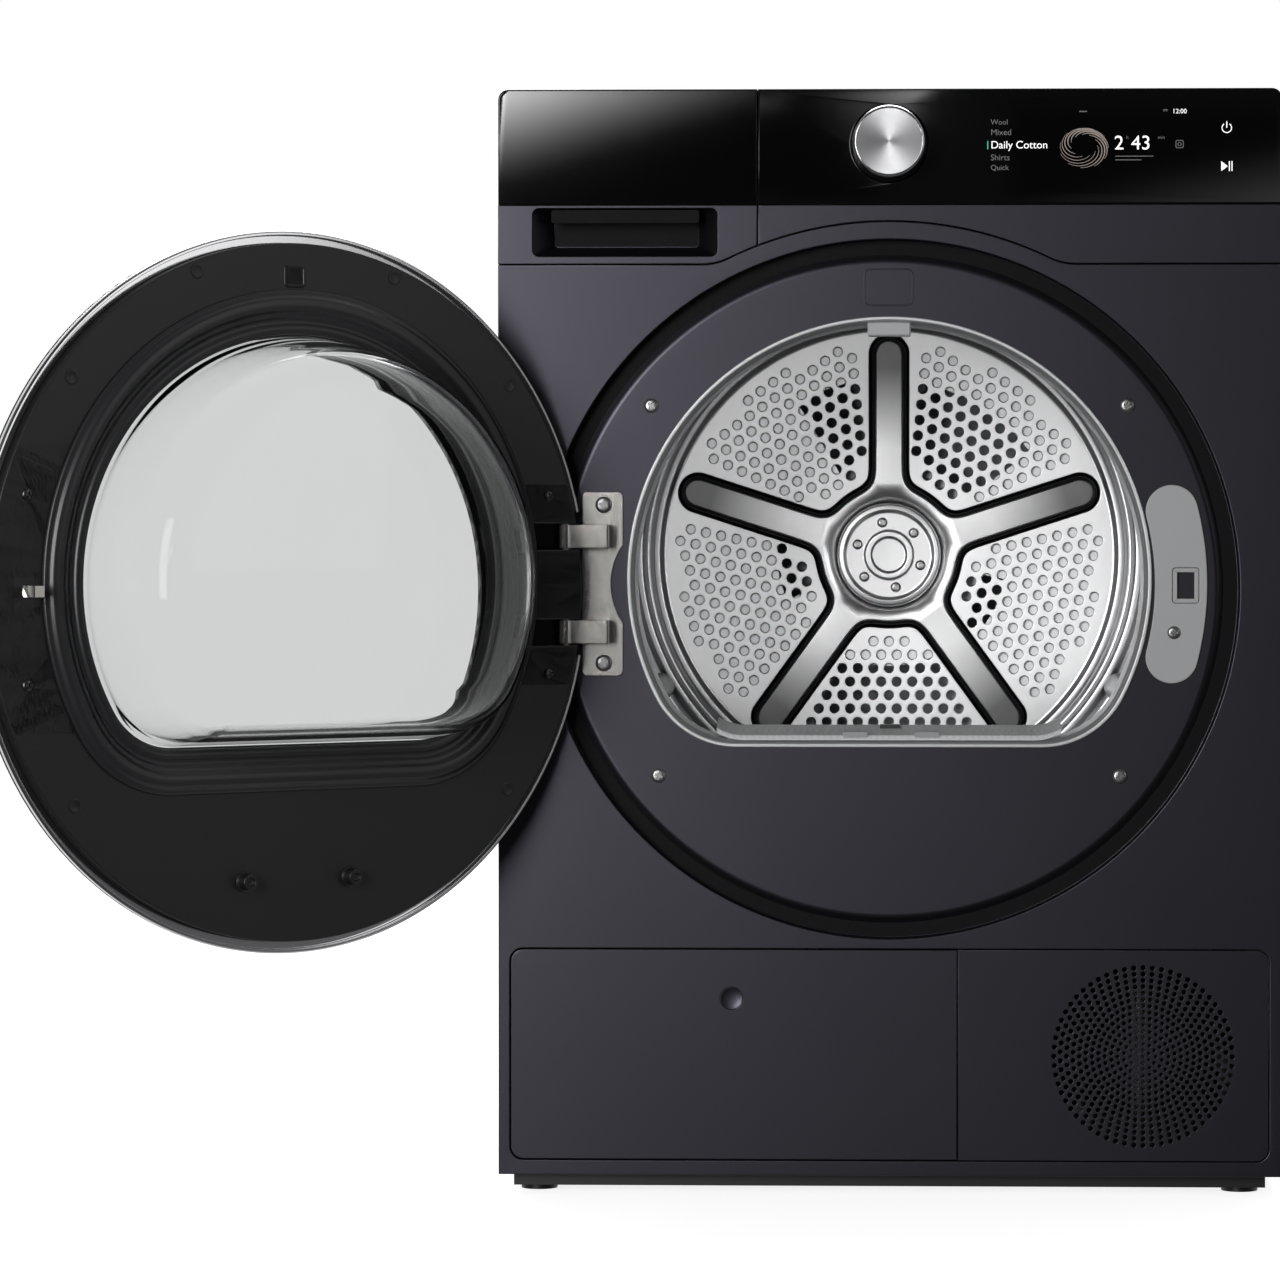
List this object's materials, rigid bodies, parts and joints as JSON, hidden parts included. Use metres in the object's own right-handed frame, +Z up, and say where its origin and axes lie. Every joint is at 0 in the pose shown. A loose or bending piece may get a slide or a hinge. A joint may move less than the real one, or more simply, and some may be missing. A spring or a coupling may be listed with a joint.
{
  "type": "clothes dryer",
  "caption": "Free-standing heat-pump clothes dryer with a round glazed door, spoked drum, water-tank drawer, programme knob and service flap.",
  "frame": {"origin": "on the floor, at the centre of the four foot pads, under the middle of the cabinet", "axes": "+Z up out of the worktop, -Y out of the front, +X to the right as seen from the front; the door stands fully open"},
  "size_m": [0.946, 0.9328, 0.845],
  "materials": {
    "painted_steel": "fine satin",
    "worktop_board": "laminated board, satin",
    "black_enamel": "stoved enamel",
    "gloss_fascia": "gloss",
    "black_plastic": "satin",
    "light_plastic": "satin",
    "stainless": "brushed",
    "bright_trim": "spun",
    "galvanised": "zinc coated",
    "fasteners": "plated",
    "rubber_black": "satin",
    "felt": "felt",
    "clear_glass": "clear",
    "circuit_board": "solder mask",
    "aluminium_fins": "finned",
    "copper": "drawn",
    "motor_steel": "machined",
    "tank_plastic": "translucent"
  },
  "bodies": {
    "cabinet": {"base_tray": "black_plastic", "feet": "black_plastic", "side_panel_left": "painted_steel", "side_panel_right": "painted_steel", "back_panel": "galvanised", "duct_cover": "galvanised", "rear_bulkhead": "galvanised", "rear_bearing": "motor_steel", "worktop": "worktop_board", "front_panel": "painted_steel", "trim_band": "painted_steel", "control_fascia": "gloss_fascia", "display_module": "gloss_fascia", "control_board": "circuit_board", "porthole_collar": "light_plastic", "front_bulkhead": "galvanised", "felt_seals": "felt", "latch_plate": "light_plastic", "door_lock": "black_plastic", "cabinet_screws": "fasteners", "hinge_plate": "stainless", "filter_duct": "light_plastic", "lint_filter": "light_plastic", "grille_panel": "painted_steel", "exchanger_housing": "black_plastic", "evaporator": "aluminium_fins", "condenser": "aluminium_fins", "compressor": "black_enamel", "refrigerant_pipes": "copper", "drive_motor": "motor_steel", "fan_housing": "black_plastic", "drive_belt": "rubber_black", "tank_sleeve": "galvanised", "mains_inlet": "black_plastic"},
    "door": {"door_inner_panel": "black_plastic", "door_ring": "bright_trim", "door_cover": "black_plastic", "door_glass": "clear_glass", "door_bowl": "clear_glass", "door_gasket": "rubber_black", "lock_side_cover": "black_plastic", "hinge_side_cover": "black_plastic", "hinge_knuckles": "galvanised", "hinge_pins": "stainless", "latch_hook": "stainless", "door_plugs": "rubber_black", "door_screws": "fasteners"},
    "drum": {"drum_shell": "stainless", "star_plate": "stainless", "drum_hub": "stainless", "drum_lifters": "light_plastic"},
    "drive": {"drive_shaft": "motor_steel", "fan_impeller": "black_plastic"},
    "idler": {"idler_pulley": "motor_steel"},
    "roller_l": {"roller_left": "rubber_black"},
    "roller_r": {"roller_right": "rubber_black"},
    "knob": {"knob": "bright_trim"},
    "tank_drawer": {"drawer_front": "painted_steel", "water_tank": "tank_plastic"},
    "flap": {"service_flap": "painted_steel"}
  },
  "joints": [
    {"name": "door_hinge", "type": "hinge", "parent": "cabinet", "child": "door", "pos_m": [-0.247, -0.3088, 0.467], "axis": [0, 0, 1], "range_deg": [0, 141]},
    {"name": "drum_spin", "type": "hinge", "parent": "cabinet", "child": "drum", "pos_m": [0, 0, 0.4856], "axis": [0, 1, 0], "continuous": true},
    {"name": "drive_spin", "type": "hinge", "parent": "cabinet", "child": "drive", "pos_m": [0.1, 0, 0.112], "axis": [0, 1, 0], "continuous": true},
    {"name": "idler_spin", "type": "hinge", "parent": "cabinet", "child": "idler", "pos_m": [0.03313, 0, 0.11971], "axis": [0, 1, 0], "continuous": true},
    {"name": "roller_l_spin", "type": "hinge", "parent": "cabinet", "child": "roller_l", "pos_m": [-0.16628, -0.2, 0.22955], "axis": [0, 1, 0], "continuous": true},
    {"name": "roller_r_spin", "type": "hinge", "parent": "cabinet", "child": "roller_r", "pos_m": [0.16628, -0.2, 0.22955], "axis": [0, 1, 0], "continuous": true},
    {"name": "knob_turn", "type": "hinge", "parent": "cabinet", "child": "knob", "pos_m": [0, -0.31, 0.803], "axis": [0, -1, 0], "continuous": true},
    {"name": "tank_slide", "type": "slide", "parent": "cabinet", "child": "tank_drawer", "axis": [0, -1, 0], "range_m": [0, 0.42]},
    {"name": "flap_hinge", "type": "hinge", "parent": "cabinet", "child": "flap", "pos_m": [-0.118, -0.2985, 0.028], "axis": [1, 0, 0], "range_deg": [0, 88]}
  ],
  "couplings": [
    {"joint": "drive_spin", "follows": "drum_spin", "ratio": 31.667},
    {"joint": "idler_spin", "follows": "drum_spin", "ratio": -20.357},
    {"joint": "roller_l_spin", "follows": "drum_spin", "ratio": -14.25},
    {"joint": "roller_r_spin", "follows": "drum_spin", "ratio": -14.25}
  ]
}
